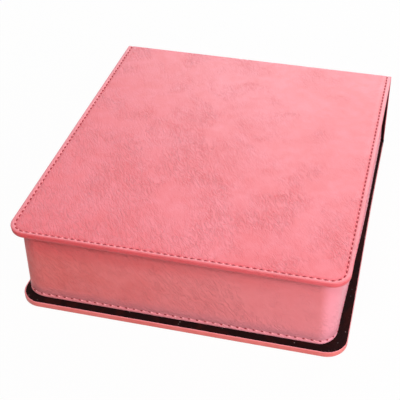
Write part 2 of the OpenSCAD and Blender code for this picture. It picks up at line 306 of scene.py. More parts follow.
class Surface:
    """A material under construction."""

    def __init__(self, name: str) -> None:
        """Starts the material.

        Args:
            name: Its name.
        """
        self.material = bpy.data.materials.new(name)
        self.material.use_nodes = True
        tree = self.material.node_tree
        self.shader = next(node for node in tree.nodes if node.type == "BSDF_PRINCIPLED").inputs
        self.graph = Graph(tree)
        read = self.graph.add("ShaderNodeTexCoord").outputs
        self.place, self.facing = read["Object"], read["Normal"]

    def lay(self, effect: Effect, **values: Term) -> bpy.types.NodeOutputs:
        """Places a shared effect with its own values, and gives its outputs."""
        inputs = {"Place": self.place, "Facing": self.facing, **values}
        return self.graph.add("ShaderNodeGroup", inputs, node_tree=effect.tree).outputs

    def read(self, attribute: str) -> Socket:
        """Reads a value that the mesh carries, or 0 where it carries none."""
        return self.graph.add("ShaderNodeAttribute", attribute_name=attribute).outputs["Fac"]

    def wire(self, **terms: object) -> None:
        """Feeds the shader's sockets, with underscores in place of spaces."""
        for label, term in terms.items():
            self.graph.feed(self.shader[label.replace("_", " ")], term)

    def emboss(self, height: Term, depth: float, strength: float = 1.0) -> None:
        """Raises the surface by a bump."""
        bump = self.graph.add("ShaderNodeBump", {"Height": height, "Strength": strength, "Distance": depth})
        self.wire(Normal=bump.outputs["Normal"])


@dataclass(frozen=True)
class Finish:
    """A finish, by the name of its material."""

    name: str

    def build(self) -> Material:
        """Makes the material and wires its nodes.

        Returns:
            The material.
        """
        surface = Surface(self.name)
        self.coat(surface, surface.graph)
        return surface.material


@dataclass(frozen=True)
class Leather(Finish):
    """Coated leather with soft clouds of colour, fine pores and patches of creases."""

    light: Colour
    deep: Colour
    # Paler colour of the "stretch" mask: partly wear on the lid's rim, partly painted highlights and painted
    # light on the rims and the wall band.
    worn_and_lit: Colour = tone(246, 140, 151)
    # Deep wine colour: deeper dye on the lid's turned edge, and painted shade there, in the crease valleys
    # and on the wall band under the lid.
    turned: Colour = tone(222, 66, 74)
    crease: float = 1.0
    grain: float = 1.0
    roughness: float = 0.47
    gloss: float = 0.45
    bloom: float = 0.18
    bloom_colour: Colour = (0.7, 0.93, 1.0, 1.0)
    bloom_rough: float = 0.45
    # Share of the deep colour laid into the crease valleys as painted shade.
    painted_crease_shade: float = 0.16
    crease_rough: float = 0.08
    pore_rough: float = 0.1
    relief: float = 0.26 * MM

    def coat(self, surface: Surface, graph: Graph) -> None:
        """Wires the finish.

        Args:
            surface: The material under construction.
            graph: Its graph.
        """
        hide = surface.lay(Effects.hide(), Crease=self.crease, Grain=self.grain)
        ground = graph.mix(hide["Clouds"], self.deep, self.light)
        # Painted shade in the crease valleys, then the paler colour of the "stretch" mask and the deep
        # colour of the "fold" mask.
        crease_shaded = graph.mix(graph.scaled(hide["Creases"], self.painted_crease_shade), ground, self.turned)
        worn_and_lit_colour = graph.mix(surface.read("stretch"), crease_shaded, self.worn_and_lit)
        folded = graph.mix(surface.read("fold"), worn_and_lit_colour, self.turned)
        polished = graph.scaled(hide["Pores"], self.pore_rough, self.roughness - self.pore_rough / 2)
        rough = graph.scaled(hide["Creases"], self.crease_rough, polished)
        surface.wire(Base_Color=folded, Roughness=rough, IOR=1.5, Specular_IOR_Level=self.gloss)
        surface.wire(Sheen_Weight=self.bloom, Sheen_Roughness=self.bloom_rough, Sheen_Tint=self.bloom_colour)
        surface.emboss(hide["Height"], self.relief)


@dataclass(frozen=True)
class Pile(Finish):
    """Suede or velvet: a dark nap that catches light along its edges."""

    ground: Colour
    brushed: Colour
    fibre: float
    sheen: float
    sheen_rough: float = 0.45
    gloss: float = 0.12
    roughness: float = 0.78
    fibre_rough: float = 0.2
    lint: Colour = tone(150, 132, 132)
    lint_share: float = 0.7
    relief: float = 0.3 * MM

    def coat(self, surface: Surface, graph: Graph) -> None:
        """Wires the finish.

        Args:
            surface: The material under construction.
            graph: Its graph.
        """
        nap = surface.lay(Effects.nap(), Fibres=1 / self.fibre)
        colour = graph.mix(nap["Strokes"], self.ground, self.brushed)
        flecked = graph.mix(graph.scaled(nap["Lint"], self.lint_share), colour, self.lint)
        rough = graph.scaled(nap["Height"], self.fibre_rough, self.roughness)
        surface.wire(Base_Color=flecked, Roughness=rough, Specular_IOR_Level=self.gloss)
        surface.wire(Sheen_Weight=self.sheen, Sheen_Roughness=self.sheen_rough)
        surface.emboss(nap["Height"], self.relief)


@dataclass(frozen=True)
class Thread(Finish):
    """Twisted sewing thread."""

    light: Colour
    deep: Colour
    ply: float = 0.5 * MM
    fibre: float = 0.3 * MM
    twist: float = math.radians(35)
    roughness: float = 0.4
    fibre_rough: float = 0.2
    fibre_height: float = 0.3
    relief: float = 0.12 * MM

    def coat(self, surface: Surface, graph: Graph) -> None:
        """Wires the finish.

        Args:
            surface: The material under construction.
            graph: Its graph.
        """
        fuzz = surface.lay(Effects.nap(), Fibres=1 / self.fibre)["Height"]
        slant = graph.drawn(surface.place, (0, 0, self.twist), (1, 1, 1))
        bands = {"Vector": slant, "Scale": 0.3 / self.ply}
        plies = graph.add("ShaderNodeTexWave", bands, bands_direction="X").outputs["Fac"]
        rough = graph.scaled(fuzz, self.fibre_rough, self.roughness)
        surface.wire(Base_Color=graph.mix(plies, self.deep, self.light), Roughness=rough)
        surface.emboss(graph.scaled(fuzz, self.fibre_height, plies), self.relief, 0.8)


@dataclass(frozen=True)
class Greyboard(Finish):
    """Pressed board, with short fibres and flecks."""

    ground: Colour
    fleck: Colour
    fibre: float = 0.7 * MM
    roughness: float = 0.82
    fibre_rough: float = 0.1
    relief: float = 0.1 * MM

    def coat(self, surface: Surface, graph: Graph) -> None:
        """Wires the finish.

        Args:
            surface: The material under construction.
            graph: Its graph.
        """
        fibres = surface.lay(Effects.nap(), Fibres=1 / self.fibre)["Height"]
        colour = graph.mix(graph.step(fibres, 0.5, 0.62), self.ground, self.fleck)
        surface.wire(Base_Color=colour, Roughness=graph.scaled(fibres, self.fibre_rough, self.roughness))
        surface.emboss(fibres, self.relief, 0.6)


@dataclass(frozen=True)
class Metal(Finish):
    """Bright metal with faint smears, for the magnets and the silvered glass."""

    colour: Colour
    roughness: float
    smear: float
    smear_size: float = 23 * MM

    def coat(self, surface: Surface, graph: Graph) -> None:
        """Wires the finish.

        Args:
            surface: The material under construction.
            graph: Its graph.
        """
        smears = graph.noise(surface.place, 1 / self.smear_size, detail=4.0, warp=0.8)
        rough = graph.scaled(graph.step(smears, 0.4, 0.75), self.smear, self.roughness)
        surface.wire(Base_Color=self.colour, Metallic=1.0, Roughness=rough)


class Finishes:
    """Every material of the case, made once."""

    def __init__(self) -> None:
        """Builds the materials."""
        matt = {"gloss": 0.4, "bloom": 0.1}
        smooth = {"crease": 0.0, "grain": 0.6}
        # The wall band's paler colour is painted light on its lit right end and near its foot.
        flank = {"worn_and_lit": tone(251, 156, 173), "crease": 1.3, "grain": 1.6, "roughness": 0.52, **matt}
        rose, coral = (tone(242, 123, 136), tone(235, 104, 114)), (tone(240, 124, 124), tone(230, 105, 103))
        peach, highlight_blush = (tone(240, 126, 122), tone(226, 104, 98)), (tone(255, 192, 196), tone(250, 160, 168))
        clay = (tone(226, 108, 113), tone(214, 94, 99))
        self.leather = Leather("rose_leather", *rose).build()
        self.flank = Leather("wall_leather_hide", *coral, **flank).build()
        self.edging = Leather("base_leather_hide", *peach, **smooth, **matt).build()
        # The puckers' pale pinks are partly leather pulled paler between the stitches, partly a painted
        # highlight on each of them.
        self.pucker_highlight = Leather("puckered_leather_highlight", *highlight_blush, crease=0.0, grain=0.5).build()
        self.skiver = Leather("skived_leather", *clay, crease=0.2, grain=0.6).build()
        self.suede = Pile("black_suede", tone(24, 2, 3), tone(42, 7, 6), 0.3 * MM, 0.0).build()
        self.velvet = Pile("black_velvet", tone(13, 10, 12), tone(30, 25, 28), 0.22 * MM, 0.4).build()
        self.thread = Thread("crimson_thread", tone(190, 18, 48), tone(128, 2, 22)).build()
        self.board = Greyboard("greyboard", tone(176, 160, 134), tone(150, 134, 110)).build()
        self.steel = Metal("nickel_plate", tone(190, 190, 194), 0.25, 0.15).build()
        self.mirror = Metal("silvered_glass", tone(226, 230, 232), 0.01, 0.02).build()


# ---- Forms ---------------------------------------------------------------------------


def eased(value: float, low: float, high: float) -> float:
    """Rises smoothly from 0 where the value is low to 1 where it is high."""
    share = min(max((value - low) / (high - low), 0.0), 1.0)
    return share * share * (3 - 2 * share)


@dataclass(frozen=True)
class Box:
    """A box in the frame, by its lowest and highest corners."""

    lo: Vector
    hi: Vector

    @classmethod
    @lru_cache(maxsize=None)
    def of(cls, node: str) -> "Box":
        """Gives a node's box at rest."""
        low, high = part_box(node)
        return cls(Vector(low), Vector(high))

    @property
    def size(self) -> Vector:
        """Length along each axis."""
        return self.hi - self.lo

    @property
    def centre(self) -> Vector:
        """Middle of the box."""
        return (self.lo + self.hi) / 2

    def grown(self, low: tuple[float, float, float], high: tuple[float, float, float]) -> "Box":
        """Gives the box with its corners moved."""
        return Box(self.lo + Vector(low), self.hi + Vector(high))


@dataclass(frozen=True)
class Outline:
    """Plan outline whose two front corners are round and whose rear stays open."""

    half: float
    front: float
    radius: float

    def out(self, co: Vector) -> Vector:
        """Points level out of the outline, from the corners' centres, or is zero further in."""
        beyond = max(abs(co.x) - self.half + self.radius, 0.0)
        return Vector((math.copysign(beyond, co.x), min(co.y - self.front - self.radius, 0.0), 0))

    def depth(self, co: Vector) -> float:
        """Says how far inside the outline a point lies, up to the corner radius."""
        return self.radius - self.out(co).length


def edge_at(edge: bmesh.types.BMEdge, axis: int, value: float) -> bool:
    """Says whether both ends of an edge lie at a value along an axis, from 0 for X."""
    return all(abs(vertex.co[axis] - value) < CLOSE for vertex in edge.verts)


class Form:
    """A closed surface under construction, in metres and at its place on the case."""

    def __init__(self) -> None:
        """Starts empty."""
        self.bm = bmesh.new()

    @classmethod
    def plate(
        cls, box: Box, front_r: float = 0.0, rear_r: float = 0.0, segments: int = 14, step: float = 0.0
    ) -> "Form":
        """Extrudes a rectangle whose corners are round in plan.

        Args:
            box: The plate's box.
            front_r: Radius of the two corners towards -Y.
            rear_r: Radius of the two corners towards +Y.
            segments: Number of steps round each corner.
            step: Length that the straight edges are divided into, or 0 to leave them whole.

        Returns:
            The form.
        """
        form = cls()
        bm = form.bm
        places = ((box.lo.x, box.lo.y), (box.hi.x, box.lo.y), (box.hi.x, box.hi.y), (box.lo.x, box.hi.y))
        corners = [bm.verts.new((x, y, box.lo.z)) for x, y in places]
        bm.faces.new(corners)
        bevel = {"segments": segments, "profile": 0.5, "affect": "VERTICES", "material": -1}
        for pair, radius in ((corners[:2], front_r), (corners[2:], rear_r)):
            if radius > 0:
                bmesh.ops.bevel(bm, geom=pair, offset=radius, **bevel)
        if step > 0:
            for edge in [edge for edge in bm.edges if edge.calc_length() > 2 * step]:
                bmesh.ops.subdivide_edges(bm, edges=[edge], cuts=round(edge.calc_length() / step))
        raised = bmesh.ops.extrude_face_region(bm, geom=bm.faces[:])["geom"]
        lift = [vertex for vertex in raised if isinstance(vertex, bmesh.types.BMVert)]
        bmesh.ops.translate(bm, verts=lift, vec=(0, 0, box.size.z))
        bmesh.ops.recalc_face_normals(bm, faces=bm.faces[:])
        return form

    @classmethod
    def copy(cls, node: str) -> "Form":
        """Copies a CAD node's mesh, with its triangles merged into whole faces.

        Args:
            node: Name of the node.

        Returns:
            The form.
        """
        form = cls()
        form.bm.from_mesh(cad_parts[node].data)
        bmesh.ops.remove_doubles(form.bm, verts=form.bm.verts[:], dist=CLOSE)
        parts = {"verts": form.bm.verts[:], "edges": form.bm.edges[:]}
        bmesh.ops.dissolve_limit(form.bm, angle_limit=FLAT_ANGLE, **parts)
        return form

    @classmethod
    def ring(cls, centre: Vector, radius: float, thickness: float) -> "Form":
        """Spins a thin cord round an axis along X.

        Args:
            centre: Middle of the ring.
            radius: Radius to the middle of the cord.
            thickness: Thickness of the cord.

        Returns:
            The form.
        """
        form = cls()
        seat = Matrix.Translation(centre + UP * radius) @ Matrix.Rotation(QUARTER, 4, "X")
        size = {"segments": CORD_SIDES, "radius": thickness / 2}
        cord = bmesh.ops.create_circle(form.bm, matrix=seat, **size)["verts"]
        edges = list({edge for vertex in cord for edge in vertex.link_edges})
        turn = {"axis": ACROSS, "angle": 2 * math.pi, "steps": RING_STEPS, "use_merge": True}
        bmesh.ops.spin(form.bm, geom=[*cord, *edges], cent=centre, **turn)
        return form

    @classmethod
    def rod(cls, box: Box, end_r: float) -> "Form":
        """Makes a round rod along X that fills a box, with softened ends.

        Args:
            box: The rod's box.
            end_r: Radius of its end edges.

        Returns:
            The form.
        """
        form, radius = cls(), box.size.z / 2
        seat = Matrix.Translation(box.centre) @ Matrix.Rotation(QUARTER, 4, "Y")
        size = {"segments": ROD_SIDES, "radius1": radius, "radius2": radius, "depth": box.size.x}
        bmesh.ops.create_cone(form.bm, cap_ends=True, matrix=seat, **size)
        return form.round_all(end_r)

    def face(self, way: Vector) -> bmesh.types.BMFace:
        """Finds the largest face that looks along a way.

        Args:
            way: The way.

        Returns:
            The face.
        """
        self.bm.normal_update()
        faces = [face for face in self.bm.faces if face.normal.dot(way) > LOOKING]
        return max(faces, key=lambda face: face.calc_area())

    def round_edges(self, radius: float, pick: Pick, segments: int = 4) -> "Form":
        """Bevels the edges picked.

        Args:
            radius: Radius of the rounding.
            pick: Says whether an edge is rounded.
            segments: Number of steps across it.

        Returns:
            The same form.
        """
        edges = [edge for edge in self.bm.edges if pick(edge)]
        bevel = {"segments": segments, "profile": 0.5, "affect": "EDGES", "material": -1}
        bmesh.ops.bevel(self.bm, geom=edges, offset=radius, **bevel)
        return self

    def round_rim(self, z: float, radius: float, segments: int = 4) -> "Form":
        """Rounds the edges that lie flat at height z."""
        return self.round_edges(radius, lambda edge: edge_at(edge, 2, z), segments)

    def round_all(self, radius: float, segments: int = 3) -> "Form":
        """Rounds every edge that turns a corner."""
        return self.round_edges(radius, lambda edge: edge.calc_face_angle(0.0) > CORNER_ANGLE, segments)

    def terrace(self, way: Vector, steps: Steps) -> "Form":
        """Works inwards over the face that looks along way, in steps.

        Args:
            way: Where the face looks.
            steps: Pairs of how far each step goes in and how far it rises.

        Returns:
            The same form.
        """
        faces, even = [self.face(way)], {"use_even_offset": True, "use_boundary": True}
        for inset, rise in steps:
            bmesh.ops.inset_region(self.bm, faces=faces, thickness=inset, depth=rise, **even)
        return self

    def open_through(self) -> "Form":
        """Cuts away the largest upward and downward faces and walls the opening between them.

        Returns:
            The same form.
        """
        floors = [self.face(DOWN), self.face(UP)]
        loops = [edge for floor in floors for edge in floor.edges]
        bmesh.ops.delete(self.bm, geom=floors, context="FACES_ONLY")
        bmesh.ops.bridge_loops(self.bm, edges=loops)
        return self

    def cut(self, co: Vector, no: Vector, trim: bool = False) -> "Form":
        """Cuts an edge loop round the form where a plane meets it.

        Args:
            co: A point of the plane.
            no: Where the plane looks.
            trim: Whether what lies beyond is cut off, and the cut closed.

        Returns:
            The same form.
        """
        geometry = self.bm.verts[:] + self.bm.edges[:] + self.bm.faces[:]
        plane = {"dist": CLOSE / 10, "plane_co": co, "plane_no": no, "clear_outer": trim}
        made = bmesh.ops.bisect_plane(self.bm, geom=geometry, **plane)["geom_cut"]
        if trim:
            rim = [item for item in made if isinstance(item, bmesh.types.BMEdge)]
            bmesh.ops.holes_fill(self.bm, edges=rim)
        return self

    def loops(self, way: Vector, places: Iterable[float]) -> "Form":
        """Cuts edge loops square to a way, at places along it.

        Args:
            way: The way, one long.
            places: Where the loops lie along it.

        Returns:
            The same form.
        """
        for place in places:
            self.cut(way * place, way)
        return self

    def shift(self, move: Callable[[Vector], Vector]) -> "Form":
        """Moves every vertex.

        Args:
            move: Finds a vertex's new place from a copy of its old one.

        Returns:
            The same form.
        """
        for vertex in self.bm.verts:
            vertex.co = move(vertex.co.copy())
        return self

    def paint(self, name: str, value: Callable[[Vector], float]) -> "Form":
        """Gives every vertex a value that materials can read.

        Args:
            name: Name of the value.
            value: Finds it from the vertex's place.

        Returns:
            The same form.
        """
        layer = self.bm.verts.layers.float.new(name)
        for vertex in self.bm.verts:
            vertex[layer] = value(vertex.co)
        return self

    def add_mesh(self, mesh: Mesh, place: Matrix) -> None:
        """Takes in a copy of a mesh.

        Args:
            mesh: The mesh.
            place: What moves the copy to its place.
        """
        moved = mesh.copy()
        moved.transform(place)
        self.bm.from_mesh(moved)
        bpy.data.meshes.remove(moved)

    def join(self, other: "Form") -> "Form":
        """Takes in another form.

        Args:
            other: The form, which is used up.

        Returns:
            The same form.
        """
        mesh = other.mesh("joined")
        self.add_mesh(mesh, Matrix())
        bpy.data.meshes.remove(mesh)
        return self

    def mesh(self, name: str) -> Mesh:
        """Turns the form into a smooth mesh whose hard edges stay hard.

        Args:
            name: Name of the mesh.

        Returns:
            The mesh. The form is used up.
        """
        bmesh.ops.remove_doubles(self.bm, verts=self.bm.verts[:], dist=CLOSE)
        bmesh.ops.recalc_face_normals(self.bm, faces=self.bm.faces[:])
        mesh = bpy.data.meshes.new(name)
        self.bm.to_mesh(mesh)
        self.bm.free()
        mesh.shade_smooth()
        mesh.set_sharp_from_angle(angle=SMOOTH_ANGLE)
        return mesh


def place_piece(
    name: str, shape: Form | Mesh, body: Body | None, finish: Material, slot: Slot, *replaces: str
) -> bpy.types.Object:
    """Places a finished piece on the case.

    Args:
        name: Name of the piece.
        shape: Its form, which is used up, or its mesh.
        body: The body that it rides on, or None, where it is attached to neither.
        finish: Its material.
        slot: The record's slot that it is painted from; not used.
        replaces: CAD nodes that it stands for.

    Returns:
        The piece.
    """
    mesh = shape.mesh(name) if isinstance(shape, Form) else shape
    piece = bpy.data.objects.new(name, mesh)
    bpy.context.collection.objects.link(piece)
    mesh.materials.clear()
    mesh.materials.append(finish)
    if body:
        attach(piece, body.value)
    if replaces:
        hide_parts(*replaces)
    LOG.info("%s: %d faces, %s", name, len(mesh.polygons), body.value if body else "bends")
    return piece


def dress(finish: Material, *nodes: str) -> None:
    """Gives CAD nodes a finish in place of their plain material.

    Args:
        finish: The material.
        nodes: Names of the nodes.
    """
    for name in nodes:
        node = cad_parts[name]
        if not node.material_slots:
            node.data.materials.append(finish)
        for slot in node.material_slots:
            slot.material = finish
        LOG.info("%s: dressed in %s", name, finish.name)


def numbered(name: str, count: int) -> tuple[str, ...]:
    """Names repeated nodes, from 1."""
    return tuple(f"{name}_{number}" for number in range(1, count + 1))


# ---- Stitches ------------------------------------------------------------------------


@dataclass(frozen=True)
class FrontRun:
    """Line forward along the left side, round both front corners and back along the right."""

    half: float
    front: float
    rear: float
    radius: float

    @property
    def side(self) -> float:
        """Length of each straight side."""
        return self.rear - self.front - self.radius

    @property
    def arc(self) -> float:
        """Length of each corner."""
        return QUARTER * self.radius

    @property
    def length(self) -> float:
        """Length of the whole line."""
        return 2 * (self.side + self.arc + self.half - self.radius)

    def at(self, distance: float) -> tuple[Vector, float]:
        """Finds a point on the line.

        Args:
            distance: How far along the line it lies.

        Returns:
            The point in plan, and the line's heading there, in radians from +X.
        """
        if distance > self.length / 2:
            point, heading = self.at(self.length - distance)
            return Vector((-point.x, point.y, 0)), -heading
        if distance < self.side:
            return Vector((-self.half, self.rear - distance, 0)), -QUARTER
        turned = min((distance - self.side) / self.radius, QUARTER)
        middle = Vector((self.radius - self.half, self.front + self.radius, 0))
        rim = middle + self.radius * Vector((-math.cos(turned), -math.sin(turned), 0))
        beyond = max(distance - self.side - self.arc, 0.0)
        return rim + Vector((beyond, 0, 0)), turned - QUARTER


@dataclass(frozen=True)
class Seam:
    """A row of machine stitches, and the leather that puckers up between them."""

    pitch: float
    length: float
    width: float
    slant: float = 0.0
    droop: float = 0.9
    stitch_at: float = 0.5
    tuft: float = 0.0
    tuft_at: float = 1.0
    tuft_width: float = 0.62
    tuft_droop: float = 0.4
    bluntness: float = 0.8

    def bead(self, length: float, width: float, droop: float) -> Mesh:
        """Models a small rounded bar about the origin, along X.

        Args:
            length: Length along X.
            width: Width and height.
            droop: How far its ends bend down, as a share of the width.

        Returns:
            The bar's mesh.
        """
        form = Form()
        bmesh.ops.create_uvsphere(form.bm, u_segments=8, v_segments=6, radius=0.5)
        bmesh.ops.rotate(form.bm, verts=form.bm.verts[:], matrix=Matrix.Rotation(QUARTER, 3, "Y"))
        form.shift(lambda co: Vector((math.copysign(abs(2 * co.x) ** self.bluntness / 2, co.x), co.y, co.z)))
        bmesh.ops.scale(form.bm, verts=form.bm.verts[:], vec=(length, width, width))
        return form.shift(lambda co: co - UP * droop * width * (2 * co.x / length) ** 2).mesh("bead")

    def repeat(self, bead: Mesh, run: FrontRun, seat: Seat, phase: float, slant: float) -> Form:
        """Repeats a small mesh along a run.

        Args:
            bead: The mesh, which is used up.
            run: The line.
            seat: Turns a point in plan and a heading into a place.
            phase: Share of the pitch at which the row starts.
            slant: Turn of each mesh against the line.

        Returns:
            The row.
        """
        form = Form()
        count = round(run.length / self.pitch)
        for index in range(count - int(phase >= 1.0)):
            point, heading = run.at((index + phase) * run.length / count)
            form.add_mesh(bead, seat(point, heading) @ Matrix.Rotation(slant, 4, "Z"))
        bpy.data.meshes.remove(bead)
        return form

    def threads(self, run: FrontRun, seat: Seat) -> Form:
        """Sews the thread along a run."""
        strand = self.bead(self.length, self.width, self.droop)
        return self.repeat(strand, run, seat, self.stitch_at, self.slant)

    def puckers(self, run: FrontRun, seat: Seat) -> Form:
        """Raises the leather between the stitches of a run."""
        tuft = self.bead(self.tuft, self.tuft_width * self.width, self.tuft_droop)
        return self.repeat(tuft, run, seat, self.tuft_at, 2 * self.slant)

    def sew(self, name: str, run: FrontRun, seat: Seat, finishes: Finishes) -> None:
        """Places a row of thread and its puckers on the lid.

        Args:
            name: Name of the row.
            run: The line that is sewn.
            seat: Turns a point in plan and a heading into a place.
            finishes: The materials.
        """
        rows = (("stitches", self.threads, finishes.thread), ("puckers", self.puckers, finishes.pucker_highlight))
        for kind, make, finish in rows:
            place_piece(f"{name}_{kind}", make(run, seat), Body.LID, finish, Slot.LEATHER)


# ---- Sub-assemblies ------------------------------------------------------------------


@dataclass(frozen=True)
class Assembly:
    """A sub-assembly, and the materials that its pieces are dressed in."""

    finishes: Finishes


@dataclass(frozen=True)
class Skin(Assembly):
    """Leather over one CAD node whose two front corners are round in plan."""

    node: str = ""
    corner_r: float = 0.0
    corner_steps: int = 14
    overrun: float = 0.0
    proud: float = 0.0
    rib_pitch: float = 12 * MM
    ribs: range = range(2, 20)

    @property
    def box(self) -> Box:
        """Box of the leather."""
        return Box.of(self.node)

    @property
    def outline(self) -> Outline:
        """Outline of the leather in plan."""
        return Outline(self.box.hi.x, self.box.lo.y, self.corner_r)

    def blank(self) -> Form:
        """Models the square-edged plate, which may run on at the rear and stand proud on top."""
        box = self.box.grown((0, 0, 0), (0, self.overrun, self.proud))
        return Form.plate(box, front_r=self.corner_r, segments=self.corner_steps)

    def trimmed(self, form: Form) -> Form:
        """Cuts the overrun off."""
        return form.cut(Vector((0, self.box.hi.y, 0)), BACK, trim=True)

    def ribbed(self, form: Form) -> Form:
        """Cuts a form into short lengths along Y, so that it can curve."""
        return form.loops(BACK, [self.box.lo.y + step * self.rib_pitch for step in self.ribs])


# ---- The lid -------------------------------------------------------------------------


@dataclass(frozen=True)
class LidCover(Skin):
    """The leather over the lid panel and down the spine, with its stitched rim."""

    node: str = "lid_leather"
    corner_r: float = 12 * MM
    overrun: float = 5 * MM
    edge_r: float = 0.6 * MM
    fold_r: float = 1.5 * MM
    fold_steps: int = 6
    seam_in: float = 3.3 * MM
    seam_pull: float = 0.8 * MM
    pull_from: float = 0.8 * MM
    pull_reach: tuple[float, float] = (5 * MM, 18 * MM)
    seam_sunk: float = 0.2
    seam_short: float = 0.7
    rim_rises: tuple[float, ...] = (0.3, 0.1, -0.1)
    groove_w: float = 1.5 * MM
    groove_h: float = 0.35 * MM
    groove_rises: tuple[float, ...] = (-0.5, -0.8, 0.7, 0.5)
    face_rises: tuple[tuple[float, float], ...] = ((1.5 * MM, 0.25), (2.5 * MM, 0.2))
    edge_profile: tuple[tuple[float, float], ...] = (
        *((0.2, 0.0), (0.3, 0.25), (0.45, 0.1), (0.6, 0.12)),
        *((0.75, 0.15), (0.88, 0.2), (1.0, 0.45)),
    )
    level: float = 0.01
    face_in: float = 0.1 * MM
    recess_in: float = 6.6 * MM
    skin: float = 1.0 * MM
    spine_r: float = 0.8 * MM
    # Reach of the paler rim top: partly wear, partly a painted highlight.
    worn_and_lit_in: float = 1.5 * MM
    pale_top_drop: float = 0.5
    turn_share: float = 0.75
    turn_in: tuple[float, float] = (0.5 * MM, 1.2 * MM)
    turn_down: tuple[float, float] = (0.35, 1.1)
    turn_ahead: float = 2.5
    # Painted shade on the turned edge is weaker towards the right end, which the key lamp lights.
    lit_right_share: float = 0.45
    lit_right_across: tuple[float, float] = (-40 * MM, 100 * MM)
    seam: Seam = Seam(4.35 * MM, 3.2 * MM, 1.15 * MM, math.radians(7), tuft=0.9 * MM)

    def panel(self) -> Form:
        """Models the panel: a plump rim, a sewn valley, and a face that rises behind it.

        Returns:
            The form.
        """
        box = self.box
        form = self.blank().round_rim(box.hi.z, self.edge_r)
        form.loops(UP, [box.hi.z - share * box.size.z for share, _ in self.edge_profile[:-1]])
        rim = (self.seam_in - self.edge_r - self.groove_w / 2) / len(self.rim_rises)
        steps = [(rim, rise) for rise in self.rim_rises]
        steps += [(self.groove_w / len(self.groove_rises), rise) for rise in self.groove_rises]
        form.terrace(UP, [(inset, rise * self.groove_h) for inset, rise in (*steps, *self.face_rises)])
        form.terrace(DOWN, [(self.recess_in, 0.0), (UPRIGHT, -Box.of("lid_lining").size.z)])
        return self.folded(form.shift(self.tucked))

    def tucked(self, co: Vector) -> Vector:
        """Tucks the turned edge under and draws the front seam towards it.

        Args:
            co: A point of the square-edged panel.

        Returns:
            The point on the shaped panel.
        """
        box, outline = self.box, self.outline
        depth, low = outline.depth(co), (box.hi.z - co.z) / box.size.z
        if low < self.edge_profile[0][0] - self.level:
            ahead = 1 - eased(co.y - box.lo.y, *self.pull_reach)
            co.y -= self.seam_pull * eased(depth, self.pull_from, self.seam_in) * ahead
        elif depth < self.face_in:
            pairs = zip(self.edge_profile, self.edge_profile[1:])
            (low_a, tuck_a), (low_b, tuck_b) = next(pair for pair in pairs if low <= pair[1][0] + self.level)
            share = (low - low_a) / (low_b - low_a)
            co -= outline.out(co).normalized() * (tuck_a + (tuck_b - tuck_a) * share) * MM
        return co

    def folded(self, form: Form) -> Form:
        """Rolls the rear of the panel over into the spine and trims the overrun.

        Args:
            form: The panel, too long at the rear.

        Returns:
            The same form.
        """
        box = self.box
        start = box.hi.y - self.fold_r
        turns = [QUARTER * step / self.fold_steps for step in range(self.fold_steps)]
        form.loops(BACK, [start + self.fold_r * math.sin(turn) for turn in turns])

        def rolled(co: Vector) -> Vector:
            """Lowers the top face along a quarter circle, and what is under it in proportion.

            Args:
                co: A point of the straight panel.

            Returns:
                The point on the rolled panel.
            """
            into = min(max((co.y - start) / self.fold_r, 0.0), 1.0)
            drop = self.fold_r * (1 - math.sqrt(1 - into * into))
            return co - UP * drop * max(co.z - box.lo.z, 0.0) / box.size.z

        return self.trimmed(form).shift(rolled)

    def spine(self) -> Form:
        """Models the spine's leather, turned in round its ends and its foot.

        Returns:
            The form.
        """
        box = Box.of("spine_leather")

        def outer(edge: bmesh.types.BMEdge) -> bool:
            """Says whether an edge bounds the outer face, apart from its top."""
            return edge_at(edge, 1, box.hi.y) and not edge_at(edge, 2, box.hi.z)

        form = Form.plate(box).round_edges(self.spine_r, outer)
        return form.terrace(FORWARD, [(self.skin, 0.0), (UPRIGHT, -(box.size.y - self.skin))])

    def stretch(self, co: Vector) -> float:
        """Says how far the rim outside the stitches is paled along its top: partly leather pulled thin over
        the rim, partly a painted highlight.

        Args:
            co: A point of the cover.

        Returns:
            The share of the paler colour.
        """
        top = self.box.hi.z
        over = 1 - eased(self.outline.depth(co), self.worn_and_lit_in, self.seam_in)
        return eased(co.z, top - self.pale_top_drop * self.edge_r, top) * over

    def fold(self, co: Vector) -> float:
        """Says how far the colour deepens where the leather turns over the edge: partly deeper dye, partly
        painted shade on the edge face, less towards the lit right end.

        Args:
            co: A point of the cover.

        Returns:
            The share of the deeper colour.
        """
        box, outline = self.box, self.outline
        front = max(-outline.out(co).normalized().y, 0.0)
        over = self.turn_share * front * (1 - eased(outline.depth(co), *self.turn_in))
        under = eased((box.hi.z - co.z) / self.edge_r, *self.turn_down)
        pale = 1 - self.lit_right_share * eased(co.x, *self.lit_right_across)
        ahead = 1 - eased(co.y, box.hi.y - self.turn_ahead * self.fold_r, box.hi.y - self.fold_r)
        return ahead * pale * max(over, under) * (co.z > box.lo.z - self.face_in)

    def seat(self, point: Vector, heading: float) -> Matrix:
        """Seats a stitch in the valley, a little below the face."""
        height = self.box.hi.z - self.seam_sunk * self.groove_h
        return Matrix.Translation((point.x, point.y, height)) @ Matrix.Rotation(heading, 4, "Z")

    def build(self) -> None:
        """Places the cover and its stitches."""
        # The "stretch" mask pales the rim's top, partly wear and partly painted highlight; the "fold" mask
        # deepens the turned edge, partly dye and partly painted shade.
        form = self.panel().join(self.spine()).paint("stretch", self.stretch).paint("fold", self.fold)
        replaced = ("lid_leather", "spine_leather")
        place_piece("lid_cover", form, Body.LID, self.finishes.leather, Slot.LEATHER, *replaced)
        box, inset = self.box, self.seam_in
        front, rear = box.lo.y + inset - self.seam_pull, box.hi.y - self.seam_short * self.fold_r
        run = FrontRun(box.hi.x - inset, front, rear, self.corner_r - inset)
        self.seam.sew("lid", run, self.seat, self.finishes)


